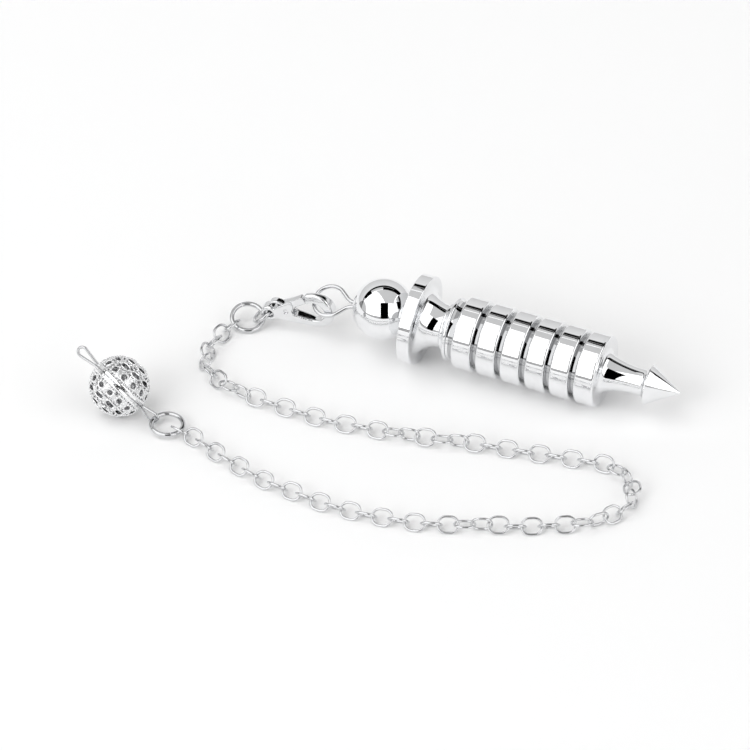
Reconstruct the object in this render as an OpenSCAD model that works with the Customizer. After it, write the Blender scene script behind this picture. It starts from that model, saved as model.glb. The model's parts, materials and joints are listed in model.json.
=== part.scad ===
// Dowsing pendulum lying on a flat surface: a turned bob, a lobster clasp, a cable chain and a pierced bead.
// +X is the length, +Z is up, and the origin is under the middle of the whole piece.

/* [Bob] */
// Diameter of the ball head
head_d = 10.5; // [9:0.1:12]
// Diameter of the disc collar
collar_d = 15.3; // [14.2:0.1:18]
// Thickness of the disc collar
collar_t = 2.2; // [1.6:0.1:3]
// Length of the waisted neck, from the collar to the small ring
neck_l = 3.8; // [3:0.1:5]
// Diameter of the waisted neck at its narrowest
neck_d = 7.4; // [6:0.1:8]
// Diameter of the small ring at the end of the neck
small_ring_d = 8.3; // [8.1:0.1:9.4]
// Thickness of the small ring
small_ring_t = 0.8; // [0.6:0.1:1.2]
// Diameter of the thin disc before the ribs
disc_d = 10.9; // [10:0.1:12]
// Thickness of the thin disc
disc_t = 0.7; // [0.5:0.1:1]
// Number of wide ribs
rib_count = 6; // [4:1:8]
// Diameter of the wide ribs
rib_d = 12.4; // [11.4:0.1:13.4]
// Width of each rib
rib_w = 3.5; // [2.8:0.1:4]
// Width of the groove between two ribs
groove_w = 0.9; // [0.6:0.1:1.2]
// Diameter of the core at the bottom of the grooves
core_d = 10; // [9:0.1:10.6]
// Length of the waisted stem, from the last rib to the cone
stem_l = 8; // [7:0.1:10]
// Diameter of the stem at its narrowest
stem_d = 4.5; // [3.8:0.1:5.2]
// Diameter of the cone's base
cone_d = 6.9; // [6:0.1:8]
// Length of the cone, from its base to its tip
cone_l = 5.5; // [4:0.1:7]
// Size of the small chamfer on every turned edge
edge = 0.15; // [0.1:0.05:0.25]

/* [Wire eye] */
// Diameter of the eye's wire
eye_wire = 0.7; // [0.6:0.05:0.8]
// Width of the eye's loop, outside
eye_w = 6.2; // [5.8:0.1:6.6]
// How far the eye reaches out of the ball head
eye_l = 7.7; // [7.3:0.1:8.3]

/* [Clasp] */
// Length of the clasp with its tail eye
clasp_l = 13; // [12.4:0.1:14]
// Width of the claw
claw_w = 6.8; // [6.6:0.1:7.4]
// Greatest thickness of the clasp
clasp_t = 2; // [1.8:0.1:2.2]
// Thickness of the claw's wall round its opening
claw_wall = 1.45; // [1.2:0.05:1.5]
// Thickness of the lever
lever_t = 1.2; // [0.9:0.1:1.4]
// Diameter of the lever's rivet
pin_d = 0.8; // [0.6:0.05:1]
// Diameter of the hole in the clasp's tail eye
tail_hole_d = 1.6; // [1.4:0.05:1.8]

/* [Rings and chain] */
// Outside diameter of the two large jump rings
jump_ring_d = 6.1; // [5.8:0.1:6.6]
// Diameter of their wire
jump_wire = 0.8; // [0.7:0.05:0.9]
// Outside diameter of the small ring at the clasp's tail
link_ring_d = 4.2; // [4:0.1:4.6]
// Diameter of its wire
link_ring_wire = 0.6; // [0.5:0.05:0.7]
// Number of links in the chain
link_count = 67; // [64:1:69]
// Width of a chain link
link_w = 3.2; // [2.9:0.1:3.5]
// Diameter of a chain link's wire
link_wire = 0.45; // [0.4:0.05:0.5]

/* [Bead] */
// Diameter of the pierced bead over its raised ornament
bead_d = 10.4; // [9.6:0.1:11]
// Thickness of the bead's shell
bead_wall = 0.5; // [0.4:0.05:0.7]
// How high the ornament stands on the shell
relief = 0.35; // [0.25:0.05:0.45]
// Diameter of the wire through the bead
pin_wire = 0.5; // [0.4:0.05:0.6]
// Length of the wire's free loop, outside the bead
free_loop_l = 4.3; // [3.6:0.1:5]
// Length of the wire's other loop, outside the bead
held_loop_l = 3.7; // [3.4:0.1:4.2]
// Width of both loops
pin_loop_w = 2.2; // [2.1:0.1:2.6]

/* [Hidden] */
$fn = 64;
gap = 0.06;
tiny = 0.01;
junction_r = 3;
tip_r = 0.15;

// Stations along the bob's axis, measured from the middle of its ball head
collar_z0 = head_d / 2 + 0.1;
collar_z1 = collar_z0 + collar_t;
small_ring_z0 = collar_z1 + neck_l;
small_ring_z1 = small_ring_z0 + small_ring_t;
disc_z0 = small_ring_z1 + 0.3;
disc_z1 = disc_z0 + disc_t;
ribs_z0 = disc_z1 + 1.3;
rib_pitch = rib_w + groove_w;
ribs_z1 = ribs_z0 + rib_count * rib_pitch - groove_w;
cone_z0 = ribs_z1 + stem_l;
cone_z1 = cone_z0 + cone_l;

// A vector turned about x, y and z in that order, as rotate() turns a shape
function turned(v, a) =
    let (x = [v[0], v[1] * cos(a[0]) - v[2] * sin(a[0]), v[1] * sin(a[0]) + v[2] * cos(a[0])],
         y = [x[0] * cos(a[1]) + x[2] * sin(a[1]), x[1], x[2] * cos(a[1]) - x[0] * sin(a[1])])
    [y[0] * cos(a[2]) - y[1] * sin(a[2]), y[0] * sin(a[2]) + y[1] * cos(a[2]), y[2]];

// The clasp, measured from the middle of its rounded end
claw_r = claw_w / 2;
throat_r = claw_r - claw_wall;
tail_eye_r = tail_hole_d / 2 + 0.6;
tail_eye_x = -(clasp_l - claw_r - tail_eye_r);
tail_x = tail_eye_x + 2.4;
tail_r = 1.5;
face_r = 9;
pivot = [-5, 0.4];
gate_r = 4.3;
hub_r = 1.15;
throat_foot = [-3.2, 0.2];
throat_foot_r = 0.8;
open_angle = 25;
knob_at = [-6.4, 2.4];
knob_r = 0.45;
hooked_at = [0.1, 0.85, 0.1];
clasp_turns = [95, -14, -18];

// The clasp hangs on the wire eye at hooked_at, and its tail eye is held by the small ring
tail_at = [-18.15, 27.6, 3.1];
clasp_at = tail_at - turned([tail_eye_x, 0, 0], clasp_turns);
hook_at = clasp_at + turned(hooked_at, clasp_turns);

// The bob lies on the rims of its collar and its last rib, and its eye reaches down to the clasp
bob_turn = -22.3;
bob_dip = atan((collar_d - rib_d) / 2 / (ribs_z1 - collar_z1));
head_z = collar_d / 2 * cos(bob_dip) + (collar_z1 - edge) * sin(bob_dip);
eye_turn = bob_turn + 180;
eye_roll = -31;
eye_depth = 1.6;
eye_end = head_d / 2 + eye_l;
eye_r = (eye_w - eye_wire) / 2;
held_angle = 28;
held = [eye_end - eye_w / 2 + eye_r * cos(held_angle), eye_r * sin(held_angle), 0];
held_rise = held[1] * sin(eye_roll);
eye_dip = asin((head_z - hook_at[2]) / norm([held[0], held_rise])) + atan2(held_rise, held[0]);
eye_turns = [eye_roll, eye_dip, eye_turn];
head_at = hook_at - turned(held, eye_turns);

// The two large rings lie at the ends of the chain's route
ring_r = (jump_ring_d - jump_wire) / 2;
clasp_ring_at = [-21.95, 27.8, 1.5];
clasp_ring_tilt = 22;
bead_ring_at = [-35.15, -1.55, 1.15];
bead_ring_tilt = 5;
link_ring_at = [-19.39, 28.08, 1.98];
link_ring_turns = [141, 0, 75];

// The bead rests on the surface, and its wire slopes down to the ring's rim
pin_turn = -33;
pin_roll = 70;
bead_roll = -47;
rim_at = bead_ring_at + turned([ring_r * cos(pin_turn + 180), ring_r * sin(pin_turn + 180), 0], [bead_ring_tilt, 0, 0]);
pin_reach = bead_d / 2 + held_loop_l - pin_wire - gap - jump_wire / 2;
pin_dip = asin((bead_d / 2 - rim_at[2]) / pin_reach);
bead_at = rim_at - turned([pin_reach, 0, 0], [0, pin_dip, pin_turn]);

// The bead's shell, and its rows of gaps: how many, their angle above the seam, and half the raised band's angle
shell_r = bead_d / 2 - relief;
seam_gap = 0.45;
pin_hole_d = 2 * pin_wire + 0.5;
rows = [[14, 20, 8], [10, 40, 7], [6, 62, 7]];
hole_d = 0.95;
slot_w = 0.75;
slot_share = 0.6;
pole_d = 1;

// The chain's route, from the bead's ring to the clasp's ring
route = [[-32.9, -3.4], [-30.4, -5.5], [-26.7, -9.6], [-22.6, -13.6], [-18.3, -17.4], [-13.9, -20.2],
         [-9.2, -23.1], [-4.1, -25.5], [1.5, -27.3], [7.1, -28.6], [12.9, -29.1], [18.5, -29.3],
         [24.1, -29.5], [29.8, -29.1], [35, -28.4], [38.3, -26.8], [40.9, -24.3], [42.1, -20.9],
         [41.3, -16.9], [38.5, -13.4], [35.1, -12], [29.7, -10.5], [24.1, -9.1], [18.4, -7.6],
         [12.7, -6.4], [7.1, -5.3], [1.9, -3.9], [-2.7, -2.3], [-7.4, -1], [-12.5, 1.4], [-17.5, 4],
         [-22.4, 6.7], [-26.3, 10.2], [-28.6, 14.3], [-28.7, 18.1], [-27.2, 22.1], [-24.65, 25.9]];
route_steps = 6;
twists = [[19, 22], [26, 29], [30, 36], [43, 46], [46, 49], [57, 60]];

// A point between b and c on a smooth curve through a, b, c and d
function smooth(a, b, c, d, t) =
    b + t * (c - a) / 2 + t * t * (a - 2.5 * b + 2 * c - d / 2) + t * t * t * (-a / 2 + 1.5 * b - 1.5 * c + d / 2);
function route_at(i) = route[min(max(i, 0), len(route) - 1)];
curve = [for (i = [0 : len(route) - 2], k = [0 : route_steps - 1])
             smooth(route_at(i - 1), route_at(i), route_at(i + 1), route_at(i + 2), k / route_steps),
         route[len(route) - 1]];
function lengths(i, total) =
    i == len(curve) - 1 ? [total] : concat([total], lengths(i + 1, total + norm(curve[i + 1] - curve[i])));
run = lengths(0, 0);
link_pitch = run[len(run) - 1] / (link_count - 1);
link_slack = 0.12;
link_drop = 0.15;
link_l = link_pitch + 2 * link_wire + 2 * link_slack;
link_r = (link_w - link_wire) / 2;
function along(s) =
    let (i = min([for (k = [0 : len(run) - 2]) if (run[k + 1] >= s - tiny) k]))
    curve[i] + (curve[i + 1] - curve[i]) * (s - run[i]) / (run[i + 1] - run[i]);
function sum(list) = list * [for (item = list) 1];
function link_turn(i) =
    -45 + 90 * i + 90 * sum([for (t = twists) min(max((i - t[0]) / (t[1] - t[0]), 0), 1)]);
function link_rise(i) = link_r * max(abs(sin(link_turn(i))), sin(45));
function link_z(i) =
    link_wire / 2 + max(link_rise(i), max(link_rise(i - 1), link_rise(i + 1)) - link_drop);

// A bar's outline from a to b with corners cut off, to be turned about the axis
module rim(r, a, b) {
    polygon([[0, a], [r - edge, a], [r, a + edge], [r, b - edge], [r - edge, b], [0, b]]);
}

// The flare of a waist that starts at the face z = a and is narrowest, r, a length l away: a tight cove, then a long one
module flare(r, a, l, tight_r, long_r) {
    lean = asin((l - tight_r) / (long_r - tight_r));
    face_r = r + long_r - (long_r - tight_r) * cos(lean);
    change_z = l - long_r * sin(lean);
    translate([0, a]) difference() {
        translate([0, -tiny]) square([face_r, l + tiny]);
        translate([face_r, tight_r]) circle(r = tight_r);
        intersection() {
            translate([r + long_r, l]) circle(r = long_r);
            translate([0, change_z]) square([2 * long_r, 2 * long_r]);
        }
    }
}

module cone_profile() {
    waist_r = stem_d / 2;
    flare_r = cone_d / 2 - edge - waist_r;
    difference() {
        translate([0, cone_z0 - edge - flare_r]) square([waist_r + flare_r, flare_r]);
        translate([waist_r + flare_r, cone_z0 - edge - flare_r]) circle(r = flare_r);
    }
    polygon([[0, cone_z0 - edge - tiny], [cone_d / 2 - edge, cone_z0 - edge], [cone_d / 2, cone_z0],
             [cone_d / 2 - edge, cone_z0 + edge], [tip_r, cone_z1 - tip_r], [0, cone_z1]]);
}

module bob_profile() {
    intersection() {
        circle(r = head_d / 2);
        translate([0, -head_d]) square([head_d, 2 * head_d]);
    }
    square([junction_r, collar_z0 + tiny]);
    rim(collar_d / 2, collar_z0, collar_z1);
    flare(neck_d / 2, collar_z1, neck_l, 2, 4.5);
    rim(small_ring_d / 2, small_ring_z0, small_ring_z1);
    translate([0, small_ring_z1 - tiny]) square([neck_d / 2, ribs_z0 - small_ring_z1]);
    rim(disc_d / 2, disc_z0, disc_z1);
    translate([0, disc_z1 - tiny]) square([core_d / 2, ribs_z1 - disc_z1]);
    for (i = [0 : rib_count - 1])
        rim(rib_d / 2, ribs_z0 + i * rib_pitch, ribs_z0 + i * rib_pitch + rib_w);
    flare(stem_d / 2, ribs_z1, stem_l - 2, 1.5, 14.6);
    translate([0, cone_z0 - 2 - tiny]) square([stem_d / 2, 2]);
    cone_profile();
}

module place_bob() {
    translate(head_at) rotate([0, 90 + bob_dip, bob_turn]) children();
}

module place_eye() {
    translate(head_at) rotate(eye_turns) children();
}

module bob() {
    color("silver")
    difference() {
        place_bob() rotate_extrude($fn = 128) bob_profile();
        place_eye() translate([head_d / 2 - eye_depth - gap, 0, 0]) rotate([0, 90, 0])
            cylinder(h = head_d / 2, d = 2 * eye_wire + 2 * tiny + 2 * gap);
    }
}

// Points on a turn of radius r about a centre, from angle a0 to a1
function turn_points(centre, r, a0, a1, steps) =
    [for (k = [0 : steps]) let (a = a0 + (a1 - a0) * k / steps) centre + r * [cos(a), sin(a)]];

// A loop's middle line: a leg at height leg_y bends outwards by lean, meets a round end at x = end and comes back
function loop_points(end, width, wire, leg_y, lean, bend_r) =
    let (r = (width - wire) / 2,
         c = end - width / 2,
         foot = [c - r * sin(lean), r * cos(lean)],
         shoulder_y = leg_y + bend_r * (1 - cos(lean)),
         leg_x = foot[0] - (foot[1] - shoulder_y) / tan(lean) - bend_r * sin(lean),
         bent = turn_points([leg_x, leg_y + bend_r], bend_r, -90, lean - 90, 4))
    concat(bent, turn_points([c, 0], r, 90 + lean, -90 - lean, 26), [for (k = [4 : -1 : 0]) [bent[k][0], -bent[k][1]]]);

// A round wire along points of the xy plane, either closed on itself or with two flat ends
module wire_path(points, wire, closed) {
    n = len(points);
    sides = 14;
    last = closed ? n - 1 : n - 2;
    function ahead(i) =
        closed ? points[(i + 1) % n] - points[(i + n - 1) % n] : points[min(i + 1, n - 1)] - points[max(i - 1, 0)];
    rings = [for (i = [0 : n - 1]) let (t = ahead(i) / norm(ahead(i)))
                 for (k = [0 : sides - 1]) let (a = 360 * k / sides)
                     [points[i][0] + wire / 2 * cos(a) * t[1], points[i][1] - wire / 2 * cos(a) * t[0], wire / 2 * sin(a)]];
    walls = [for (i = [0 : last], k = [0 : sides - 1])
                 [i * sides + k, i * sides + (k + 1) % sides,
                  ((i + 1) % n) * sides + (k + 1) % sides, ((i + 1) % n) * sides + k]];
    ends = closed ? [] : [[for (k = [sides - 1 : -1 : 0]) k], [for (k = [0 : sides - 1]) (n - 1) * sides + k]];
    polyhedron(rings, concat(walls, ends), convexity = 6);
}

module bob_eye() {
    color("silver")
    place_eye() {
        loop = loop_points(eye_end, eye_w, eye_wire, eye_wire / 2 + tiny, 35, 1);
        root = [head_d / 2 - eye_depth, loop[0][1]];
        wire_path(concat([root], loop, [[root[0], -root[1]]]), eye_wire, false);
    }
}

module place_clasp() {
    translate(clasp_at) rotate(clasp_turns) children();
}

// Two round ends and the straight sides that touch both
module taper(a, ra, b, rb) {
    hull() {
        translate(a) circle(r = ra);
        translate(b) circle(r = rb);
    }
}

module claw_outline() {
    taper([0, 0], claw_r, [tail_x, 0], tail_r);
}

module throat_outline() {
    taper([0, 0], throat_r, throat_foot, throat_foot_r);
}

// The space between two round faces, thickest along the clasp's middle
module domed() {
    lift = face_r - clasp_t / 2;
    rotate([90, 0, 90]) linear_extrude(4 * clasp_l, center = true) intersection() {
        translate([0, lift]) circle(r = face_r, $fn = 128);
        translate([0, -lift]) circle(r = face_r, $fn = 128);
    }
}

module clasp_body() {
    color("silver")
    place_clasp()
    intersection() {
        domed();
        difference() {
            linear_extrude(2 * clasp_t, center = true) {
                claw_outline();
                translate([tail_eye_x, 0]) circle(r = tail_eye_r);
            }
            linear_extrude(3 * clasp_t, center = true) {
                throat_outline();
                intersection() {
                    translate(pivot) circle(r = gate_r);
                    translate([-3.6, 0]) square([8, 8]);
                }
                translate([tail_eye_x, 0]) circle(d = tail_hole_d);
            }
            linear_extrude(lever_t + 2 * gap, center = true) {
                taper(pivot, hub_r + gap, throat_foot, throat_foot_r);
                translate(pivot) square([4, 4]);
                for (swing = [0, open_angle])
                    translate(pivot) rotate(-swing) thumb_arm(gap);
            }
            translate(pivot) cylinder(h = 2 * clasp_t, d = pin_d + gap / 2, center = true);
        }
    }
}

// The lever's short arm, from its pivot to its knob, with room around it
module thumb_arm(room) {
    taper([0, 0], hub_r - 0.2 + room, knob_at - pivot, knob_r + room);
}

module clasp_lever() {
    color("silver")
    place_clasp()
    difference() {
        linear_extrude(lever_t, center = true) {
            translate(pivot) circle(r = hub_r);
            translate(pivot) thumb_arm(0);
            intersection() {
                translate(pivot) circle(r = gate_r - gap);
                difference() {
                    claw_outline();
                    throat_outline();
                }
                translate(pivot) square([10, 10]);
            }
        }
        translate(pivot) cylinder(h = 2 * clasp_t, d = pin_d + 2 * gap, center = true);
    }
}

module clasp_pin() {
    color("silver")
    place_clasp() translate(pivot) cylinder(h = clasp_t - 0.4, d = pin_d, center = true);
}

module wire_ring(outer, wire) {
    rotate_extrude() translate([(outer - wire) / 2, 0]) circle(d = wire);
}

module link_ring() {
    color("silver")
    translate(link_ring_at) rotate(link_ring_turns) wire_ring(link_ring_d, link_ring_wire);
}

module clasp_ring() {
    color("silver")
    translate(clasp_ring_at) rotate([clasp_ring_tilt, 0, 0]) wire_ring(jump_ring_d, jump_wire);
}

// An oval link, long along x
module oval_link(length, width, wire) {
    turn_r = (width - wire) / 2;
    half = (length - width) / 2;
    for (side = [0, 180]) rotate([0, 0, side]) {
        translate([half, 0, 0]) rotate([0, 0, -90]) rotate_extrude(angle = 180) translate([turn_r, 0]) circle(d = wire);
        translate([-half, turn_r, 0]) rotate([0, 90, 0]) cylinder(h = 2 * half, d = wire);
    }
}

module chain() {
    color("silver")
    for (i = [0 : link_count - 1]) {
        middle = along(i * link_pitch);
        step = along(min(i + 0.5, link_count - 1) * link_pitch) - along(max(i - 0.5, 0) * link_pitch);
        translate([middle[0], middle[1], link_z(i)]) rotate([link_turn(i), 0, atan2(step[1], step[0])])
            oval_link(link_l, link_w, link_wire);
    }
}

module bead_ring() {
    color("silver")
    translate(bead_ring_at) rotate([bead_ring_tilt, 0, 0]) wire_ring(jump_ring_d, jump_wire);
}

// The bead's wire runs along x
module place_bead(roll) {
    translate(bead_at) rotate([roll, pin_dip, pin_turn]) children();
}

module bead_pin() {
    color("silver")
    place_bead(pin_roll) {
        leg_y = pin_wire / 2 + tiny;
        held_loop = loop_points(bead_d / 2 + held_loop_l, pin_loop_w, pin_wire, leg_y, 13, 1);
        free_loop = loop_points(bead_d / 2 + free_loop_l, pin_loop_w, pin_wire, leg_y, 11, 1);
        wire_path(concat(held_loop, -free_loop), pin_wire, true);
    }
}

// A sector of a circle from angle a0 to a1, wide enough to cut a band out of the bead's outline
module sector(a0, a1) {
    polygon([[0, 0], bead_d * [cos(a0), sin(a0)], bead_d * [cos(a1), sin(a1)]]);
}

// The bead's outline on one side of its axis: the shell, a raised band for each row of gaps and two seam rims
module bead_profile() {
    difference() {
        union() {
            circle(r = shell_r);
            intersection() {
                circle(r = shell_r + relief / 2);
                for (side = [-1, 1], row = rows)
                    sector(side * (row[1] - row[2]), side * (row[1] + row[2]));
            }
        }
        circle(r = shell_r - bead_wall);
        translate([-2 * bead_d, -bead_d]) square([2 * bead_d, 2 * bead_d]);
    }
    for (side = [-1, 1])
        translate([sqrt(shell_r * shell_r - seam_gap * seam_gap), side * seam_gap]) circle(r = relief, $fn = 32);
}

// A slot through the shell, as tall as width and long round the bead's middle by the angle span
module slot_cutter(height, width, span) {
    half = asin(width / 2 / shell_r);
    rotate([0, 0, -span / 2]) rotate_extrude(angle = span) difference() {
        intersection() {
            circle(r = 1.2 * shell_r);
            sector(height - half, height + half);
        }
        circle(r = 0.7 * shell_r);
    }
}

module filigree_bead() {
    color("silver")
    place_bead(bead_roll) difference() {
        rotate_extrude($fn = 96) bead_profile();
        for (side = [-1, 1]) {
            for (i = [0 : rows[0][0] - 1])
                rotate([0, -side * rows[0][1], (i + 0.5) * 360 / rows[0][0]])
                    translate([shell_r / 2, 0, 0]) rotate([0, 90, 0]) cylinder(h = shell_r, d = hole_d, $fn = 32);
            for (row = [rows[1], rows[2]], i = [0 : row[0] - 1])
                rotate([0, 0, i * 360 / row[0]]) slot_cutter(side * row[1], slot_w, 360 / row[0] * slot_share);
        }
        cylinder(h = 2 * bead_d, d = pole_d, center = true, $fn = 32);
        rotate([0, 90, 0]) cylinder(h = 2 * bead_d, d = pin_hole_d, center = true, $fn = 32);
    }
}

bob();
bob_eye();
clasp_body();
clasp_lever();
clasp_pin();
link_ring();
clasp_ring();
chain();
bead_ring();
bead_pin();
filigree_bead();
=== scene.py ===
"""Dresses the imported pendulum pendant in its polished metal.

It makes the turned bob and its eye, the clasp, the rings, the cable chain and the pierced bead.
"""
import json
import math

import bmesh
import bpy
from mathutils import Euler, Matrix, Vector

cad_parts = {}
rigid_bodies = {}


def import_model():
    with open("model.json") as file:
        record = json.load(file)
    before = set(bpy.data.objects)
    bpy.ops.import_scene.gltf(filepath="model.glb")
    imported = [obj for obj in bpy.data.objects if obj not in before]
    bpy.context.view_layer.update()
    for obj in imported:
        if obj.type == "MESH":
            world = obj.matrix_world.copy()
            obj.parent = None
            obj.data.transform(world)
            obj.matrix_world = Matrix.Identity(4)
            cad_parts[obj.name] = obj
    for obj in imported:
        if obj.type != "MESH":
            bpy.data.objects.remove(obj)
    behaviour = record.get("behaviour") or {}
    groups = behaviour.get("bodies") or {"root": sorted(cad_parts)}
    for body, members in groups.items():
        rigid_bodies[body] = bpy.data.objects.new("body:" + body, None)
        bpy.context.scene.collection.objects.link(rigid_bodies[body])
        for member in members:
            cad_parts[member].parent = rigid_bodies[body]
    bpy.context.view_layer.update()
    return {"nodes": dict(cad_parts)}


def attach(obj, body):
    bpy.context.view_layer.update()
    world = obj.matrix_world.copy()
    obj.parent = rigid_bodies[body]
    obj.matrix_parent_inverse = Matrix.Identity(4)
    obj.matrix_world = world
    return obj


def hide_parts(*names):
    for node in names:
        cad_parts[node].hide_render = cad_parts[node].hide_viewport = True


bl_info = {
    "name": "Pendulum pendant",
    "blender": (4, 5, 0),
    "version": (1, 0, 0),
    "location": "View3D > Sidebar > Pendulum",
    "description": "Builds the polished metal of a pendulum pendant round its packed frame",
    "category": "Object",
}

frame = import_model()

MM = 0.001
PENDULUM = "pendulum"
LEVER = "lever"

# Where the pieces lie, in millimetres, and how they turn about x, y and z, in degrees
HEAD_AT = (0.9, 21.432, 7.973)
BOB_TURNS = (0, 92.562, -22.3)
EYE_TURNS = (-31, 6.507, 157.7)
CLASP_AT = (-10.583, 25.141, 5.084)
CLASP_TURNS = (95, -14, -18)
LINK_RING_AT = (-19.39, 28.08, 1.98)
LINK_RING_TURNS = (141, 0, 75)
CLASP_RING_AT = (-21.95, 27.8, 1.5)
CLASP_RING_TURNS = (22, 0, 0)
BEAD_RING_AT = (-35.15, -1.55, 1.15)
BEAD_RING_TURNS = (5, 0, 0)
BEAD_AT = (-43.161, 3.647, 5.2)
BEAD_DIP = 29.619
BEAD_TURN = -33
PIN_ROLL = 70
BEAD_ROLL = -47

# The lever's pivot in the clasp's plane
LEVER_PIVOT = (-5, 0.4)

# The chain: how many links, the points it lies through, and the links between which it twists by a quarter
LINKS = 67
CHAIN_ROUTE = (
    (-32.9, -3.4), (-30.4, -5.5), (-26.7, -9.6), (-22.6, -13.6), (-18.3, -17.4), (-13.9, -20.2),
    (-9.2, -23.1), (-4.1, -25.5), (1.5, -27.3), (7.1, -28.6), (12.9, -29.1), (18.5, -29.3),
    (24.1, -29.5), (29.8, -29.1), (35, -28.4), (38.3, -26.8), (40.9, -24.3), (42.1, -20.9),
    (41.3, -16.9), (38.5, -13.4), (35.1, -12), (29.7, -10.5), (24.1, -9.1), (18.4, -7.6),
    (12.7, -6.4), (7.1, -5.3), (1.9, -3.9), (-2.7, -2.3), (-7.4, -1), (-12.5, 1.4), (-17.5, 4),
    (-22.4, 6.7), (-26.3, 10.2), (-28.6, 14.3), (-28.7, 18.1), (-27.2, 22.1), (-24.65, 25.9),
)
CHAIN_TWISTS = ((19, 22), (26, 29), (30, 36), (43, 46), (46, 49), (57, 60))

# The openings on each half of the bead, row by row: how many, and how many degrees above the seam
BEAD_ROWS = ((14, 20), (10, 40), (6, 62))
# The grains on each half: how many, how many degrees above the seam, and the share of a step they start at
GRAIN_ROWS = (
    (72, 3.9, 0), (56, 8, 0), (28, 12.4, 0.5), (28, 28.6, 0.25), (14, 33, 0), (10, 40, 0.5),
    (20, 48.6, 0.25), (20, 53, 0.75), (6, 62, 0.5), (12, 71.5, 0), (10, 76.5, 0.5),
)

# The scale of the handling marks, the share of its colour that handled metal keeps, and for each kind of
# fine relief its scale and its depth in metres
HAZE = 420.0
HANDLED = 0.94
SCRATCHES = (5200.0, 0.00002)
PITS = (2300.0, 0.0001)

# The camera looks down by so many degrees on a square frame of so many pixels
LOOK_DOWN = 37
FRAME_PIXELS = 750
PIXELS_PER_MM = 6.0
ORIGIN_PIXEL = (378.4, 424.3)

# Distances under which points are one: in metres, on a turned piece and where a wire's ends meet
SAME_POINT = 1e-7
TURNED_POINT_MM = 0.0005
WIRE_ENDS_MM = 0.01

# Degrees of a wire's bend for each ring of faces
BEND_STEP = 9


# Sizes and colours

def length_of(name, description, default):
    """A length that a user would change, in millimetres when read through mm()."""
    return bpy.props.FloatProperty(name=name, description=description, default=default * MM, min=0,
                                   unit="LENGTH", precision=5)


def colour_of(name, description, default):
    """A surface colour that a user would change."""
    return bpy.props.FloatVectorProperty(name=name, description=description, default=default, size=3,
                                         min=0, max=1, subtype="COLOR")


class PendantSizes(bpy.types.PropertyGroup):
    """The pendant's sizes"""
    head: length_of("Ball head", "Diameter of the bob's ball head", 10.5)
    collar: length_of("Collar", "Diameter of the disc collar", 15.3)
    rib: length_of("Ribs", "Diameter of the wide ribs", 12.4)
    core: length_of("Core", "Diameter at the bottom of the grooves", 10)
    turned_edge: length_of("Turned edge", "Radius of the rounded edges on the bob's discs", 0.15)
    rib_edge: length_of("Rib edge", "Radius of the rounded edges on the wide ribs", 0.42)
    eye_wire: length_of("Eye wire", "Diameter of the bob eye's wire", 0.7)
    eye_width: length_of("Eye width", "Outside width of the bob's eye", 6.2)
    eye_reach: length_of("Eye reach", "How far the eye stands out of the ball head", 7.7)
    jump_ring: length_of("Jump rings", "Outside diameter of the two large jump rings", 6.1)
    jump_wire: length_of("Jump ring wire", "Diameter of the large jump rings' wire", 0.8)
    link_ring: length_of("Small ring", "Outside diameter of the ring at the clasp's tail", 4.2)
    link_ring_wire: length_of("Small ring wire", "Diameter of the small ring's wire", 0.6)
    ring_split: length_of("Ring split", "Width of the split between a jump ring's ends", 0.12)
    link_width: length_of("Link width", "Outside width of a chain link", 3.2)
    link_wire: length_of("Link wire", "Diameter of a chain link's wire", 0.45)
    bead: length_of("Bead", "Diameter of the bead over its ornament", 10.4)
    bead_wire: length_of("Bead wire", "Diameter of the wire through the bead", 0.5)
    held_loop: length_of("Held loop", "Length of the bead wire's loop in the ring", 3.7)
    free_loop: length_of("Free loop", "Length of the bead wire's empty loop", 4.3)
    loop_width: length_of("Loop width", "Outside width of both loops", 2.2)
    ornament_wire: length_of("Ornament wire", "Diameter of the bead's soldered ornament wire", 0.24)
    grain: length_of("Grain", "Diameter of the bead's soldered grains", 0.42)
    soften: length_of("Cast softness", "Step of the softened skin on the cast clasp", 0.075)


class PendantColours(bpy.types.PropertyGroup):
    """The colours of the pendant's metals and of the floor, with painted shade down in the bob's grooves
    and in the bead's ornament
    """
    bob: colour_of("Bob", "Colour of the polished bob", (0.9, 0.905, 0.915))
    # Painted shade: the grooves' metal is darkened to stand for the shade that falls down in them
    groove: colour_of("Grooves", "Colour down in the bob's grooves", (0.5, 0.505, 0.515))
    clasp: colour_of("Clasp", "Colour of the cast clasp", (0.84, 0.845, 0.855))
    findings: colour_of("Findings", "Colour of the rings and wires", (0.66, 0.665, 0.675))
    chain: colour_of("Chain", "Colour of the chain", (0.72, 0.725, 0.735))
    bead: colour_of("Bead", "Colour of the bead's raised metal", (0.94, 0.943, 0.95))
    # Painted shade: the metal down in the bead's ornament is darkened to stand for the shade that falls
    # there
    bead_recess: colour_of("Bead recess", "Colour down in the bead's ornament", (0.46, 0.46, 0.47))
    floor: colour_of("Floor", "Colour of the plain floor", (0.97, 0.97, 0.97))


def sizes():
    return bpy.context.scene.pendant_sizes


def colours():
    return bpy.context.scene.pendant_colours


def mm(value):
    """A size from the property groups, in millimetres."""
    return value / MM


# Placing

def place(at, turns):
    """The matrix that turns about x, y and z in that order, then moves, in millimetres."""
    return Matrix.Translation(at) @ Euler([math.radians(a) for a in turns], "XYZ").to_matrix().to_4x4()


def in_bead(roll):
    """The bead's place, rolled round its wire."""
    return place(BEAD_AT, (roll, BEAD_DIP, BEAD_TURN))


# Shader maths

class Value:
    """A shader socket that takes part in Python expressions."""

    def __init__(self, finish, socket):
        self.finish = finish
        self.socket = socket

    def maths(self, operation, *others):
        return self.finish.node("ShaderNodeMath", {"operation": operation}, self, *others)

    def __add__(self, other):
        return self.maths("ADD", other)

    def __sub__(self, other):
        return self.maths("SUBTRACT", other)

    def __rsub__(self, other):
        return self.finish.node("ShaderNodeMath", {"operation": "SUBTRACT"}, other, self)

    def __mul__(self, other):
        return self.maths("MULTIPLY", other)

    __radd__ = __add__
    __rmul__ = __mul__


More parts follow.
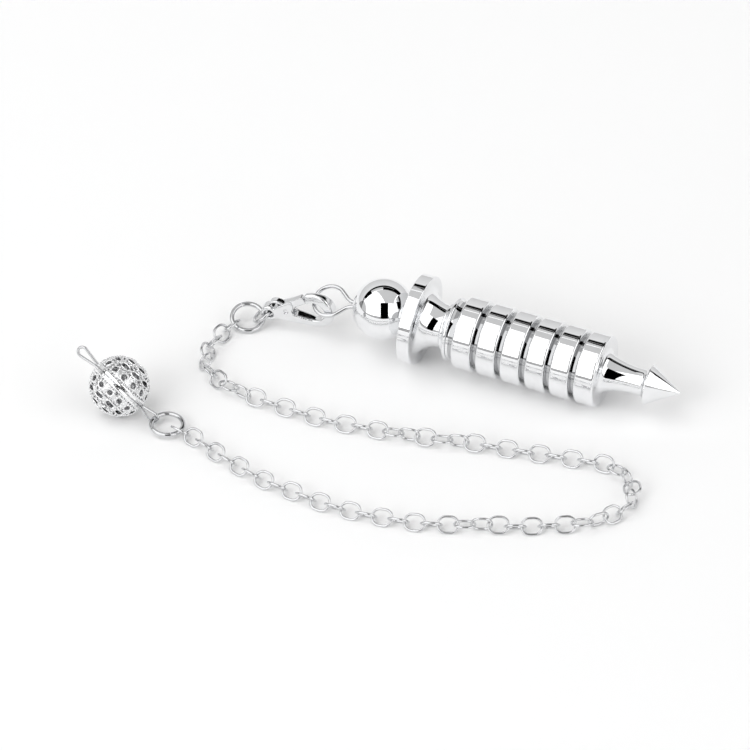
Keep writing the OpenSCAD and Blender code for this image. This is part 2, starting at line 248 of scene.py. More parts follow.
class Finish:
    """A node tree under construction."""

    def __init__(self, tree):
        self.tree = tree
        self.tree.nodes.clear()

    def node(self, kind, settings=None, *inputs, output=0, **named):
        """A node of a kind: its settings, then the values or links of its sockets."""
        made = self.tree.nodes.new(kind)
        for key, setting in (settings or {}).items():
            if key == "stops":
                ramp = made.color_ramp
                while len(ramp.elements) < len(setting):
                    ramp.elements.new(0.5)
                for element, (at, shade) in zip(ramp.elements, setting):
                    element.position = at
                    element.color = (*shade, 1) if isinstance(shade, tuple) else (shade, shade, shade, 1)
            else:
                setattr(made, key, setting)
        sockets = list(enumerate(inputs)) + [(key.replace("_", " "), v) for key, v in named.items()]
        for index, given in sockets:
            if isinstance(given, Value):
                self.tree.links.new(given.socket, made.inputs[index])
            else:
                made.inputs[index].default_value = given
        return Value(self, made.outputs[output]) if made.outputs else None

    def parts(self, vector):
        """The x, y and z of a vector."""
        split = self.node("ShaderNodeSeparateXYZ", None, vector).socket.node
        return [Value(self, socket) for socket in split.outputs]

    def blend(self, factor, first, second):
        """A mix of two colours, each a Value or plain."""
        first, second = (c if isinstance(c, Value) else (*c, 1) for c in (first, second))
        return self.node("ShaderNodeMix", {"data_type": "RGBA"}, factor, A=first, B=second, output=2)


def new_material(name):
    made = bpy.data.materials.new(name)
    made.use_nodes = True
    return made, Finish(made.node_tree)


def fine_noise(finish, where, grain):
    """The noise of a fine relief, at its scale."""
    return finish.node("ShaderNodeTexNoise", None, Vector=where, Scale=grain, Detail=2.0, Roughness=0.5)


def polished(name, colour, roughness, smudge, scratch, relief=SCRATCHES, recess=None):
    """Plated metal with soft handling marks in its gloss, and fine scratches or pits; where a recess is
    given, painted shade darkens the colour down in it.
    """
    made, finish = new_material(name)
    where = finish.node("ShaderNodeTexCoord", output=3)
    grain, depth = relief
    haze = finish.node("ShaderNodeTexNoise", None, Vector=where, Scale=HAZE, Detail=4.0, Roughness=0.6)
    marks = finish.node("ShaderNodeValToRGB", {"stops": ((0.35, 0.0), (0.75, 1.0))}, haze)
    tone = finish.blend(marks, colour, [c * HANDLED for c in colour])
    # Painted shade: the colour is darkened down in the recesses that the mask picks out
    if recess is not None:
        raised, dark = recess
        tone = finish.blend(raised(finish, where), dark, tone)
    fine = fine_noise(finish, where, grain)
    bump = finish.node("ShaderNodeBump", None, Strength=scratch, Distance=depth, Height=fine)
    metal = finish.node("ShaderNodeBsdfPrincipled", None, Base_Color=tone, Metallic=1.0,
                        Roughness=roughness + smudge * marks, Normal=bump)
    finish.node("ShaderNodeOutputMaterial", None, Surface=metal)
    return made


def bead_shade_mask(finish, where):
    """1 on the bead's raised metal and 0 down in its ornament, where shade is painted into the colour,
    broken up by the pits.
    """
    centre = tuple(v * MM for v in BEAD_AT)
    low, high = 4.9 * MM, 5.1 * MM
    shallow, deep = 0.44, 0.56
    reach = finish.node("ShaderNodeVectorMath", {"operation": "DISTANCE"}, where, centre, output=1)
    height = finish.node("ShaderNodeMapRange", None, reach, low, high, 0.0, 1.0)
    fine = fine_noise(finish, where, PITS[0])
    pits = finish.node("ShaderNodeMapRange", None, fine, shallow, deep, 0.0, 1.0)
    return height.maths("MAXIMUM", pits)


def outside_groove_shade(finish, where):
    """1 on the bob's polished surfaces and 0 down in the grooves between its ribs, where shade is painted
    into the colour.
    """
    head, turns = tuple(v * MM for v in HEAD_AT), tuple(math.radians(a) for a in BOB_TURNS)
    radius, middle, half = 5.5 * MM, 25.1 * MM, 11.6 * MM
    x, y, z = finish.parts(finish.node("ShaderNodeMapping", {"vector_type": "TEXTURE"}, where, head, turns))
    near_axis = (x * x + y * y).maths("LESS_THAN", radius ** 2)
    return 1 - near_axis * (z - middle).maths("ABSOLUTE").maths("LESS_THAN", half)


def material(key):
    """The finish of one kind of piece, made on first use."""
    c = colours()
    finishes = {
        # The bob's grooves and the bead's ornament get painted shade in their colour
        "polished_bob": dict(colour=c.bob, roughness=0.012, smudge=0.035, scratch=0.04,
                             recess=(outside_groove_shade, c.groove)),
        "cast_clasp": dict(colour=c.clasp, roughness=0.04, smudge=0.08, scratch=0.12),
        "plated_findings": dict(colour=c.findings, roughness=0.03, smudge=0.06, scratch=0.1),
        "plated_chain": dict(colour=c.chain, roughness=0.04, smudge=0.06, scratch=0.1),
        "plated_bead": dict(colour=c.bead, roughness=0.08, smudge=0.1, scratch=0.7, relief=PITS,
                            recess=(bead_shade_mask, c.bead_recess)),
    }
    return bpy.data.materials.get(key) or polished(key, **finishes[key])


# Making pieces

def linked(name, data):
    """A new object of the scene, at the origin."""
    made = bpy.data.objects.new(name, data)
    bpy.context.collection.objects.link(made)
    return made


def worked_out(helper):
    """The mesh that a helper object's modifiers or curve settings give, as a bmesh; the helper goes."""
    bpy.context.view_layer.update()
    mesh = bpy.data.meshes.new_from_object(helper.evaluated_get(bpy.context.evaluated_depsgraph_get()))
    bm = bmesh.new()
    bm.from_mesh(mesh)
    source = helper.data
    bpy.data.objects.remove(helper)
    bpy.data.batch_remove([mesh, source])
    return bm


def of_kind(geometry, kind):
    """The vertices or the edges among what an operator made."""
    return [part for part in geometry if isinstance(part, kind)]


def finished(name, bm, matrix, key, body, nodes, sharp=35):
    """Puts a bmesh in place as a piece that rides on a body and stands for its CAD nodes."""
    bm.transform(Matrix.Scale(MM, 4) @ matrix)
    bmesh.ops.remove_doubles(bm, verts=bm.verts, dist=SAME_POINT)
    bmesh.ops.recalc_face_normals(bm, faces=bm.faces)
    for face in bm.faces:
        face.smooth = True
    for edge in bm.edges:
        edge.smooth = len(edge.link_faces) != 2 or edge.calc_face_angle(0) < math.radians(sharp)
    mesh = bpy.data.meshes.new(name)
    bm.to_mesh(mesh)
    bm.free()
    piece = linked(name, mesh)
    mesh.materials.append(material(key))
    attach(piece, body)
    if nodes:
        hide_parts(*nodes)
    return piece


def arc(centre, radius, start, end, steps):
    """Points on an arc in the plane, from one angle in degrees to another."""
    return [(centre[0] + radius * math.cos(math.radians(start + (end - start) * k / steps)),
             centre[1] + radius * math.sin(math.radians(start + (end - start) * k / steps)))
            for k in range(steps + 1)]


def turned_piece(bm, outline, steps):
    """Spins an outline of (radius, height) points round the z axis."""
    verts = [bm.verts.new((r, 0, z)) for r, z in outline]
    edges = [bm.edges.new(pair) for pair in zip(verts, verts[1:])]
    bmesh.ops.spin(bm, geom=verts + edges, cent=(0, 0, 0), axis=(0, 0, 1), angle=math.tau, steps=steps,
                   use_merge=True, use_duplicate=False)
    bmesh.ops.remove_doubles(bm, verts=bm.verts, dist=TURNED_POINT_MM)


def bent_wire(bm, start, wire, moves, sides, closed, turn_steps=1.0):
    """Bends a round wire in the xy plane from a start along +x.

    A move is ("run", length) or ("turn", radius, degrees), and turn_steps makes a turn's faces finer.
    """
    made = bmesh.ops.create_circle(bm, cap_ends=False, radius=wire / 2, segments=sides)["verts"]
    bmesh.ops.rotate(bm, verts=made, cent=(0, 0, 0), matrix=Matrix.Rotation(math.pi / 2, 3, "Y"))
    bmesh.ops.translate(bm, verts=made, vec=(start[0], start[1], 0))
    ring = list({e for v in made for e in v.link_edges})
    first = list(ring)
    at = Vector((start[0], start[1], 0))
    heading = 0.0
    for move in moves:
        ahead = Vector((math.cos(heading), math.sin(heading), 0))
        if move[0] == "run":
            grown = bmesh.ops.extrude_edge_only(bm, edges=ring)["geom"]
            bmesh.ops.translate(bm, verts=of_kind(grown, bmesh.types.BMVert), vec=ahead * move[1])
            ring = [edge for edge in of_kind(grown, bmesh.types.BMEdge)
                    if all(v in grown for v in edge.verts)]
            at += ahead * move[1]
        else:
            radius, angle = move[1], math.radians(move[2])
            side = math.copysign(1, angle)
            centre = at + Vector((-ahead.y, ahead.x, 0)) * radius * side
            steps = max(3, round(abs(move[2]) / BEND_STEP * turn_steps))
            grown = bmesh.ops.spin(bm, geom=ring, cent=centre, axis=(0, 0, 1), angle=angle, steps=steps,
                                   use_merge=False, use_duplicate=False)["geom_last"]
            ring = of_kind(grown, bmesh.types.BMEdge)
            at = centre + Matrix.Rotation(angle, 3, "Z") @ (at - centre)
            heading += angle
    if closed:
        bmesh.ops.remove_doubles(bm, verts=bm.verts, dist=WIRE_ENDS_MM)
    else:
        for edges in (first, ring):
            bmesh.ops.edgeloop_fill(bm, edges=[e for e in edges if e.is_valid])


def beside_centre(wire):
    """How far a leg of a doubled wire lies from the line between its two legs."""
    half_gap = 0.01
    return wire / 2 + half_gap


def loop_moves(end, root, width, wire, leg, lean, bend):
    """The moves of a wire loop from its root to its end and back.

    A leg, an outward bend of a radius by lean degrees, a slope, the round end, and the same again.
    """
    radius = (width - wire) / 2
    middle = end - width / 2
    turn = math.radians(lean)
    foot = (middle - radius * math.sin(turn), radius * math.cos(turn))
    shoulder = leg + bend * (1 - math.cos(turn))
    leg_x = foot[0] - (foot[1] - shoulder) / math.tan(turn) - bend * math.sin(turn)
    slope = (foot[1] - shoulder) / math.sin(turn)
    return [("run", leg_x - root), ("turn", bend, lean), ("run", slope), ("turn", radius, -180 - 2 * lean),
            ("run", slope), ("turn", bend, lean), ("run", leg_x - root)]


def split_ring(outer, wire, split, split_at):
    """A jump ring with a fine split between its ends, at an angle in degrees."""
    radius = (outer - wire) / 2
    gap = math.degrees(split / radius)
    ring = bmesh.new()
    moves = [("turn", radius, 360 - gap)]
    bent_wire(ring, (0, -radius), wire, moves, sides=20, closed=False, turn_steps=1.4)
    ring.transform(Matrix.Rotation(math.radians(split_at), 4, "Z"))
    return ring


def strewn(shape, places):
    """One bmesh with a copy of a small shape at each place; the shape itself is used up."""
    mesh = bpy.data.meshes.new("copy")
    shape.to_mesh(mesh)
    shape.free()
    bm = bmesh.new()
    back = Matrix.Identity(4)
    for matrix in places:
        mesh.transform(matrix @ back)
        back = matrix.inverted()
        bm.from_mesh(mesh)
    bpy.data.meshes.remove(mesh)
    return bm


def cad_shape(node, lie):
    """A CAD node's mesh in millimetres, merged, and brought back from the place where it lies."""
    bm = bmesh.new()
    bm.from_mesh(frame["nodes"][node].data)
    bmesh.ops.remove_doubles(bm, verts=bm.verts, dist=SAME_POINT)
    bm.transform(lie.inverted() @ Matrix.Scale(1 / MM, 4))
    return bm


def cast_piece(name, bm, step, rounds, fill, body, node):
    """Casts a shape: rounds of smoothing wear its edges, then its faces are filled out again."""
    mesh = bpy.data.meshes.new(name + "_blank")
    bm.to_mesh(mesh)
    bm.free()
    blank = linked(name + "_blank", mesh)
    skin = blank.modifiers.new("skin", "REMESH")
    skin.mode = "VOXEL"
    skin.voxel_size = step
    worn = blank.modifiers.new("worn", "SMOOTH")
    worn.factor = 0.5
    worn.iterations = rounds
    full = blank.modifiers.new("full", "DISPLACE")
    full.strength = fill
    full.mid_level = 0
    finished(name, worked_out(blank), Matrix.Identity(4), "cast_clasp", body, [node],
             sharp=180)


def lever_outline():
    """The lever in the clasp's plane: its hub, its gate, and its horn curled towards the tail."""
    # Points along the horn, each with the horn's half width there
    horn = [((-5.3, 1.35), 0.3), ((-5.75, 1.83), 0.26), ((-6.25, 2.12), 0.23), ((-6.8, 2.2), 0.21),
            ((-7.3, 2.1), 0.19), ((-7.6, 1.93), 0.16)]
    slopes = [Vector(b[0]) - Vector(a[0]) for a, b in zip([horn[0]] + horn[:-1], horn[1:] + [horn[-1]])]
    aside = [Vector((slope.y, -slope.x)).normalized() * half for (_, half), slope in zip(horn, slopes)]
    upper = [tuple(Vector(at) + off) for (at, _), off in zip(horn, aside)]
    lower = [tuple(Vector(at) - off) for (at, _), off in zip(horn, aside)]
    hub = arc(LEVER_PIVOT, 1.15, 160, 350, 12)
    gate = [(-3.8, 0.75), (-3.44, 0.98), (-0.98, 1.75)] + arc(LEVER_PIVOT, 4.2, 19, 38, 4) + [(-5.0, 1.84)]
    return lower[::-1] + hub + gate + upper


def plate(outline, thickness):
    """A flat plate of an outline in the xy plane."""
    bm = bmesh.new()
    face = bm.faces.new([bm.verts.new((x, y, -thickness / 2)) for x, y in outline])
    grown = bmesh.ops.extrude_face_region(bm, geom=[face])["geom"]
    bmesh.ops.translate(bm, verts=of_kind(grown, bmesh.types.BMVert), vec=(0, 0, thickness))
    bmesh.ops.recalc_face_normals(bm, faces=bm.faces)
    return bm


# The pieces

def rounded_rim(radius, low, high, edge, steps=3):
    """A disc's outline from its low face to its high face, with round edges."""
    return (arc((radius - edge, low + edge), edge, -90, 0, steps)
            + arc((radius - edge, high - edge), edge, 0, 90, steps))


def cove(waist, start, length, tight, wide):
    """The flare of a waist away from the face at start: a tight cove, then a long one."""
    lean = math.asin((length - tight) / (wide - tight))
    face = waist + wide - (wide - tight) * math.cos(lean)
    meet = 180 + math.degrees(lean)
    return (arc((face, start + tight), tight, 270, meet, 10)
            + arc((waist + wide, start + length), wide, meet, 180, 24))


def bob_outline(s):
    """The bob's outline from the ball's pole to the cone's tip, as (radius, height) in millimetres."""
    head, collar, rib, core = (mm(v) / 2 for v in (s.head, s.collar, s.rib, s.core))
    edge, soft = mm(s.turned_edge), mm(s.rib_edge)
    # Radii under the ball, at the waist, at the stem's neck and at the cone's base
    boss, waist, neck, cone = 3, 3.7, 2.25, 3.3
    # Lengths along the bob; the small ring and the thin disc also have a radius and a round edge
    step, collar_deep, flare, gap, shoulder, stem = 0.1, 2.2, 3.8, 0.3, 0.4, 8
    ring_deep, ring, ring_edge = 0.8, 4.15, 0.36
    disc_deep, disc, disc_edge = 0.7, 5.45, 0.32
    ribs, rib_deep, groove = 6, 3.5, 0.9
    outline = arc((0, 0), head, -90, 90 - math.degrees(math.asin(boss / head)), 64) + [(boss, head)]
    # The collar and the flare after it
    at = head + step + collar_deep
    outline += rounded_rim(collar, at - collar_deep, at, edge) + cove(waist, at, flare, tight=2, wide=4.5)
    # The small ring and the thin disc
    at += flare + ring_deep
    outline += rounded_rim(ring, at - ring_deep, at, ring_edge, 6) + [(waist, at), (waist, at + gap)]
    at += gap + disc_deep
    outline += rounded_rim(disc, at - disc_deep, at, disc_edge, 6)
    # The ribs, each after its groove
    at += shoulder
    for _ in range(ribs):
        outline += [(core, at), (core, at + groove)]
        at += groove + rib_deep
        outline += rounded_rim(rib, at - rib_deep, at, soft, 8)
    # The stem, the cone's rim and its blunt tip
    outline += cove(neck, at, 6, tight=1.5, wide=14.6)
    at += stem
    outline += arc((cone, at - edge - (cone - neck)), cone - neck, 180, 90, 8)
    outline += [(cone + edge, at - 0.04), (cone + edge, at + 0.04), (cone, at + edge)]
    outline += [(0.15, at + 5.35), (0.08, at + 5.44), (0, at + 5.5)]
    return outline


class PENDANT_OT_bob(bpy.types.Operator):
    """Turns the bob from its outline and seats its wire eye"""
    bl_idname = "pendant.bob"
    bl_label = "Bob and its eye"

    def execute(self, context):
        s = sizes()
        bm = bmesh.new()
        turned_piece(bm, bob_outline(s), steps=144)
        piece = finished("turned_bob", bm, place(HEAD_AT, BOB_TURNS), "polished_bob", PENDULUM,
                         ["bob"], sharp=30)
        weight = piece.modifiers.new("flat faces", "WEIGHTED_NORMAL")
        weight.keep_sharp = True
        wire, head = mm(s.eye_wire), mm(s.head)
        leg = beside_centre(wire)
        set_in = 1.6
        root = head / 2 - set_in
        moves = loop_moves(head / 2 + mm(s.eye_reach), root, mm(s.eye_width), wire, leg, lean=42, bend=2.6)
        bm = bmesh.new()
        bent_wire(bm, (root, leg), wire, moves, sides=20, closed=False, turn_steps=1.5)
        finished("wire_eye", bm, place(HEAD_AT, EYE_TURNS), "plated_findings", PENDULUM,
                 ["bob_eye"])
        return {"FINISHED"}


class PENDANT_OT_clasp(bpy.types.Operator):
    """Softens the cast clasp and its lever, and sets the rivet's head"""
    bl_idname = "pendant.clasp"
    bl_label = "Clasp"

    def execute(self, context):
        step = mm(sizes().soften)
        clasp = place(CLASP_AT, CLASP_TURNS)
        claw = cad_shape("clasp_body", Matrix.Identity(4))
        cast_piece("clasp_casting", claw, step, rounds=70, fill=0.07, body=PENDULUM, node="clasp_body")
        lever = plate(lever_outline(), thickness=1.15)
        lever.transform(clasp)
        cast_piece("clasp_trigger", lever, step, rounds=14, fill=0.03, body=LEVER, node="clasp_lever")
        rivet = [(0, -0.8), (0.4, -0.8), (0.4, 0.76), (0.33, 0.82), (0.18, 0.86), (0, 0.87)]
        bm = bmesh.new()
        turned_piece(bm, rivet, steps=24)
        finished("clasp_rivet", bm, clasp @ Matrix.Translation((*LEVER_PIVOT, 0)), "cast_clasp", PENDULUM,
                 ["clasp_pin"])
        return {"FINISHED"}


class PENDANT_OT_rings(bpy.types.Operator):
    """Bends the three jump rings, each with its split"""
    bl_idname = "pendant.rings"
    bl_label = "Jump rings"

    def execute(self, context):
        s = sizes()
        large = (mm(s.jump_ring), mm(s.jump_wire))
        small = (mm(s.link_ring), mm(s.link_ring_wire))
        # Piece, CAD node, sizes, place and the split's angle
        rings = (
            ("ring_at_clasp", "clasp_ring", large, place(CLASP_RING_AT, CLASP_RING_TURNS), 205),
            ("ring_at_bead", "bead_ring", large, place(BEAD_RING_AT, BEAD_RING_TURNS), 14),
            ("ring_at_tail", "link_ring", small, place(LINK_RING_AT, LINK_RING_TURNS), 150),
        )
        for name, node, (outer, wire), matrix, split_at in rings:
            bm = split_ring(outer, wire, mm(s.ring_split), split_at)
            finished(name, bm, matrix, "plated_findings", PENDULUM, [node])
        return {"FINISHED"}


def smooth_route(points, steps):
    """The points of a smooth curve through the route."""
    def at(i):
        return Vector(points[min(max(i, 0), len(points) - 1)])
    curve = []
    for i in range(len(points) - 1):
        a, b, c, d = at(i - 1), at(i), at(i + 1), at(i + 2)
        for k in range(steps):
            t = k / steps
            curve.append(b + t * (c - a) / 2 + t * t * (a - 2.5 * b + 2 * c - d / 2)
                         + t ** 3 * (-a / 2 + 1.5 * b - 1.5 * c + d / 2))
    return curve + [at(len(points) - 1)]


def link_places(count, link_radius, wire):
    """Where each link lies along the route, with its roll, and the pitch between links."""
    first_roll, quarter, least_roll = -45, 90, 45
    hang, slack = 0.15, 0.01
    curve = smooth_route(CHAIN_ROUTE, steps=6)
    run = [0.0]
    for a, b in zip(curve, curve[1:]):
        run.append(run[-1] + (b - a).length)
    pitch = run[-1] / (count - 1)

    def along(s):
        i = next(k for k in range(len(run) - 1) if run[k + 1] >= s - slack)
        return curve[i] + (curve[i + 1] - curve[i]) * (s - run[i]) / (run[i + 1] - run[i])

    def roll(i):
        twists = sum(min(max((i - a) / (b - a), 0), 1) for a, b in CHAIN_TWISTS)
        return first_roll + quarter * i + quarter * twists

    def rise(i):
        return link_radius * max(abs(math.sin(math.radians(roll(i)))), math.sin(math.radians(least_roll)))

    places = []
    for i in range(count):
        at = along(i * pitch)
        step = along(min(i + 0.5, count - 1) * pitch) - along(max(i - 0.5, 0) * pitch)
        height = wire / 2 + max(rise(i), max(rise(i - 1), rise(i + 1)) - hang)
        turn = math.degrees(math.atan2(step[1], step[0]))
        places.append(place((at[0], at[1], height), (roll(i), 0, turn)))
    return places, pitch


class PENDANT_OT_chain(bpy.types.Operator):
    """Bends one oval link and lays its copies along the chain's route"""
    bl_idname = "pendant.chain"
    bl_label = "Cable chain"

    def execute(self, context):
        s = sizes()
        width, wire, play = mm(s.link_width), mm(s.link_wire), 0.24
        radius = (width - wire) / 2
        places, pitch = link_places(LINKS, radius, wire)
        half = (pitch + 2 * wire + play - width) / 2
        link = bmesh.new()
        moves = [("run", 2 * half), ("turn", radius, 180)] * 2
        bent_wire(link, (-half, -radius), wire, moves, sides=12, closed=True, turn_steps=0.7)
        finished("cable_chain", strewn(link, places), Matrix.Identity(4), "plated_chain", PENDULUM,
                 ["chain"], sharp=60)
        return {"FINISHED"}


def on_bead(radius, lat, lon):
    """A point at a height above the bead's seam and an angle round it, in degrees."""
    a, b = math.radians(lat), math.radians(lon)
    return radius * Vector((math.cos(a) * math.cos(b), math.cos(a) * math.sin(b), math.sin(a)))


def round_bead(radius, lat, count, start=0.0):
    """Points round the bead at one height, the first a share of a step from the start of its row."""
    return [on_bead(radius, lat, (k + start) * 360 / count) for k in range(count)]


def round_about(radius, lat, lon, tall, wide, points, start=0.0):
    """Points round a spot on the bead, tall degrees above and below it and wide degrees beside it."""
    angles = [math.tau * (k + start) / points for k in range(points)]
    return [on_bead(radius, lat + tall * math.sin(a), lon + wide * math.cos(a)) for a in angles]


def hole_places(side):
    """The height and the angle of each round hole on one half of the bead."""
    count, lat = BEAD_ROWS[0]
    return [(side * lat, (k + 0.5) * 360 / count) for k in range(count)]


def soldered_wires(paths, wire):
    """Round wires along closed or open paths, as one bmesh."""
    curve = bpy.data.curves.new("ornament", "CURVE")
    curve.dimensions = "3D"
    curve.bevel_depth = wire / 2
    curve.bevel_resolution = 1
    curve.use_fill_caps = True
    for points, closed in paths:
        spline = curve.splines.new("POLY")
        spline.points.add(len(points) - 1)
        for point, p in zip(spline.points, points):
            point.co = (*p, 1)
        spline.use_cyclic_u = closed
    return worked_out(linked("ornament", curve))


def scroll_points(radius, side, lon):
    """A scroll above the gap between two holes, which widens as it goes round."""
    lat, tall, narrow, growth = 31, 3.2, 2, 0.36
    count, points_a_turn = 15, 12
    points = []
    for j in range(count):
        angle = math.tau * j / points_a_turn
        across = (narrow + growth * j) * math.cos(angle)
        points.append(on_bead(radius, side * (lat + tall * math.sin(angle)), lon + across))
    return points


def ornament_paths(level):
    """Rings round the holes, scrolls, ovals round the slots and a crown, each with whether it is closed."""
    paths = []
    half_step = 180 / BEAD_ROWS[0][0]
    crown, slot_share, margin = 77.5, 0.3, 4.5
    for side in (-1, 1):
        for lat, lon in hole_places(side):
            paths.append((round_about(level, lat, lon, tall=7, wide=7.4, points=16), True))
            paths.append((scroll_points(level, side, lon + half_step), False))
        for count, lat in BEAD_ROWS[1:]:
            step = 360 / count
            span = step * slot_share + margin
            paths += [(round_about(level, side * lat, step * k, tall=5.8, wide=span, points=20), True)
                      for k in range(count)]
        paths.append((round_bead(level, side * crown, 24), True))
    return paths


def grain_places(level):
    """Where the grains sit: along the seam, between the holes and the slots, and round each hole."""
    spots = []
    for side in (-1, 1):
        for count, lat, start in GRAIN_ROWS:
            spots += round_bead(level, side * lat, count, start)
        for k, (lat, lon) in enumerate(hole_places(side)):
            spots += round_about(level, lat, lon, tall=8.4, wide=9, points=8, start=k / 3)
    return spots


class PENDANT_OT_bead(bpy.types.Operator):
    """Dresses the pierced shell of the bead with soldered wire and grains, and bends the wire through it"""
    bl_idname = "pendant.bead"
    bl_label = "Filigree bead"

    def execute(self, context):
        s = sizes()
        lie = in_bead(BEAD_ROLL)
        # The seam's half width and how far it is drawn in; the ornament's relief, and the height of its
        # wires' centres over the shell and of its grains' centres under that
        seam, drawn_in = 0.3, 0.35
        relief, lift, sink = 0.35, 0.17, 0.06
        shell = cad_shape("filigree_bead", lie)
        for vert in shell.verts:
            if abs(vert.co.z) < seam:
                vert.co.z *= drawn_in
        finished("bead_shell", shell, lie, "plated_bead", PENDULUM, ["filigree_bead"],
                 sharp=28)
        level = mm(s.bead) / 2 - relief + lift
        bm = soldered_wires(ornament_paths(level), mm(s.ornament_wire))
        finished("bead_scrolls", bm, lie, "plated_bead", PENDULUM, [], sharp=60)
        grain = bmesh.new()
        bmesh.ops.create_uvsphere(grain, u_segments=8, v_segments=6, radius=mm(s.grain) / 2)
        bm = strewn(grain, [Matrix.Translation(spot) for spot in grain_places(level - sink)])
        finished("bead_grains", bm, lie, "plated_bead", PENDULUM, [], sharp=60)
        wire, width = mm(s.bead_wire), mm(s.loop_width)
        leg = beside_centre(wire)
        held = loop_moves(mm(s.bead) / 2 + mm(s.held_loop), 0, width, wire, leg, lean=13, bend=1)
        free = loop_moves(mm(s.bead) / 2 + mm(s.free_loop), 0, width, wire, leg, lean=11, bend=1)
        bm = bmesh.new()
        bent_wire(bm, (0, leg), wire, held + free, sides=16, closed=True, turn_steps=1.5)
        finished("bead_wire_loops", bm, in_bead(PIN_ROLL), "plated_findings", PENDULUM,
                 ["bead_pin"])
        return {"FINISHED"}


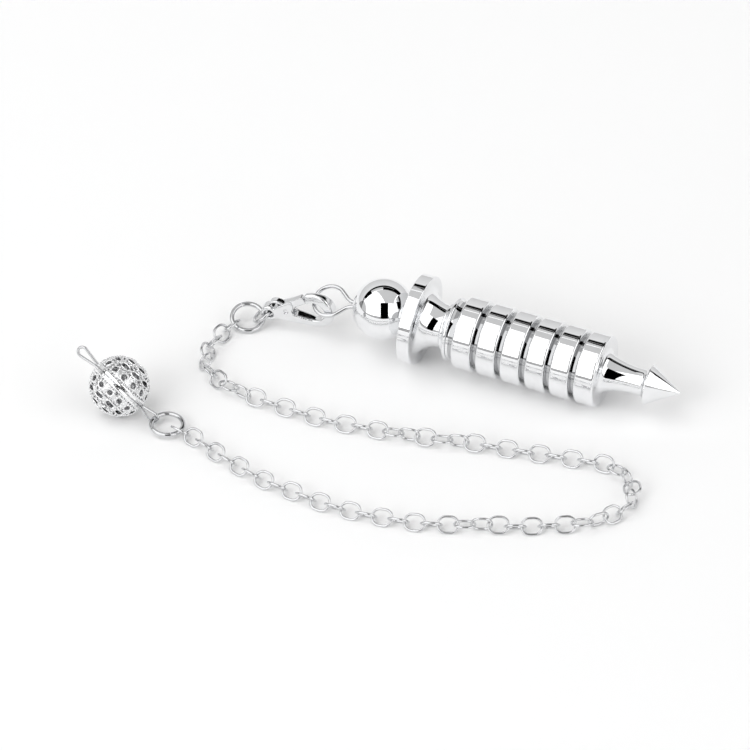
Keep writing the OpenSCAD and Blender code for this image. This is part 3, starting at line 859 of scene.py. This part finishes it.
class PENDANT_OT_stage(bpy.types.Operator):
    """Lays the plain floor, and sets the soft studio light and the camera"""
    bl_idname = "pendant.stage"
    bl_label = "Floor, light and camera"

    # The studio's brightness, from the horizon behind the pendant (0) overhead to the horizon in front (1)
    WALLS = ((0.0, 0.42), (0.248, 0.55), (0.256, 0.0), (0.295, 0.0), (0.305, 0.36), (0.36, 0.45),
             (0.375, 1.0), (0.955, 1.0), (0.962, 0.12), (0.972, 0.12), (0.978, 0.6), (0.986, 0.2),
             (1.0, 0.2))
    # The strength of the whole studio
    SKY = 1.52
    # Dark cards on the walls: middle and half width to the side, middle and half height, darkness, and how
    # far the middle moves aside and the half width shrinks on the way to the front
    CARDS = (
        (0.04, 0.24, 0.835, 0.165, 1.0, 0.0, 0.0),
        (0.2475, 0.3925, 0.5225, 0.1475, 0.58, 0.6, 1.0),
        (0.3, 0.33, 0.34, 0.035, 1.0, 0.0, 0.0),
        (0.68, 0.2, 0.33, 0.045, 1.0, 0.0, 0.0),
        (-0.72, 0.14, 0.34, 0.05, 1.0, 0.0, 0.0),
        (0.965, 0.035, 0.5, 0.5, 0.85, 0.0, 0.0),
        (-0.965, 0.035, 0.5, 0.5, 0.6, 0.0, 0.0),
    )
    # Name, place in metres and power in watts
    LAMPS = (("softbox", (-0.3, 0.15, 0.6), 0.3), ("fill", (-0.55, -0.6, 0.5), 2.2))

    def execute(self, context):
        self.lay_floor()
        self.set_light()
        self.set_camera()
        return {"FINISHED"}

    def lay_floor(self):
        bm = bmesh.new()
        bmesh.ops.create_grid(bm, x_segments=1, y_segments=1, size=4)
        mesh = bpy.data.meshes.new("floor")
        bm.to_mesh(mesh)
        bm.free()
        floor = linked("floor", mesh)
        plain, finish = new_material("plain_floor")
        where = finish.node("ShaderNodeTexCoord", output=3)
        grain = finish.node("ShaderNodeTexNoise", None, Vector=where, Scale=60.0, Detail=2.0)
        shade = finish.blend(grain, colours().floor, [c * 0.99 for c in colours().floor])
        matt = finish.node("ShaderNodeBsdfPrincipled", None, Base_Color=shade, Roughness=0.9)
        finish.node("ShaderNodeOutputMaterial", None, Surface=matt)
        mesh.materials.append(plain)

    def set_light(self):
        world = bpy.data.worlds.new("studio")
        bpy.context.scene.world = world
        world.use_nodes = True
        sky = Finish(world.node_tree)
        sideways, back, height = sky.parts(sky.node("ShaderNodeTexCoord"))
        swing = sky.node("ShaderNodeMath", {"operation": "ARCTAN2"}, height, back) * (1 / math.pi)
        tone = sky.node("ShaderNodeValToRGB", {"stops": self.WALLS}, swing)
        for middle, half, at, reach, dark, lean, taper in self.CARDS:
            past = swing - at
            aside = (sideways - middle - past * lean).maths("ABSOLUTE")
            wide = aside.maths("LESS_THAN", past * -taper + half)
            tall = past.maths("ABSOLUTE").maths("LESS_THAN", reach)
            tone = tone * (1 - wide * tall * dark)
        light = sky.node("ShaderNodeBackground", None, tone, self.SKY)
        sky.node("ShaderNodeOutputWorld", None, Surface=light)
        for name, at, power in self.LAMPS:
            lamp = bpy.data.lights.new(name, "AREA")
            lamp.shape = "RECTANGLE"
            lamp.size = 0.5
            lamp.size_y = 0.35
            lamp.energy = power
            box = linked(name, lamp)
            box.location = at
            box.rotation_euler = (-box.location).to_track_quat("-Z", "Y").to_euler()
            box.visible_glossy = False

    def set_camera(self):
        across = FRAME_PIXELS / PIXELS_PER_MM * MM
        beside, below = ((FRAME_PIXELS / 2 - pixel) / PIXELS_PER_MM * MM for pixel in ORIGIN_PIXEL)
        lift = math.radians(LOOK_DOWN)
        up = Vector((0, math.sin(lift), math.cos(lift)))
        target = Vector((beside, 0, 0)) - up * below
        away = 2.5
        data = bpy.data.cameras.new("camera")
        data.sensor_width = 36
        data.lens = data.sensor_width * away / across
        data.clip_start = 0.5
        data.clip_end = 20
        camera = linked("camera", data)
        camera.location = target + Vector((0, -math.cos(lift), math.sin(lift))) * away
        camera.rotation_euler = (math.pi / 2 - lift, 0, 0)
        scene = bpy.context.scene
        scene.camera = camera
        scene.view_settings.view_transform = "Standard"
        scene.view_settings.look = "None"


OPERATORS = (PENDANT_OT_bob, PENDANT_OT_clasp, PENDANT_OT_rings, PENDANT_OT_chain, PENDANT_OT_bead,
             PENDANT_OT_stage)


class PENDANT_PT_panel(bpy.types.Panel):
    """Lists the steps that build the pendant, with its sizes and colours"""
    bl_idname = "PENDANT_PT_panel"
    bl_label = "Pendulum pendant"
    bl_space_type = "VIEW_3D"
    bl_region_type = "UI"
    bl_category = "Pendulum"

    def draw(self, context):
        for operator in OPERATORS:
            self.layout.operator(operator.bl_idname)
        for group in (sizes(), colours()):
            for key in group.__annotations__:
                self.layout.prop(group, key)


CLASSES = (PendantSizes, PendantColours) + OPERATORS + (PENDANT_PT_panel,)


def register():
    for entry in CLASSES:
        bpy.utils.register_class(entry)
    bpy.types.Scene.pendant_sizes = bpy.props.PointerProperty(type=PendantSizes)
    bpy.types.Scene.pendant_colours = bpy.props.PointerProperty(type=PendantColours)


def unregister():
    del bpy.types.Scene.pendant_sizes
    del bpy.types.Scene.pendant_colours
    for entry in reversed(CLASSES):
        bpy.utils.unregister_class(entry)


def main():
    register()
    bpy.ops.pendant.bob()
    bpy.ops.pendant.clasp()
    bpy.ops.pendant.rings()
    bpy.ops.pendant.chain()
    bpy.ops.pendant.bead()
    bpy.ops.pendant.stage()
    bpy.context.view_layer.update()


if __name__ == "__main__":
    main()
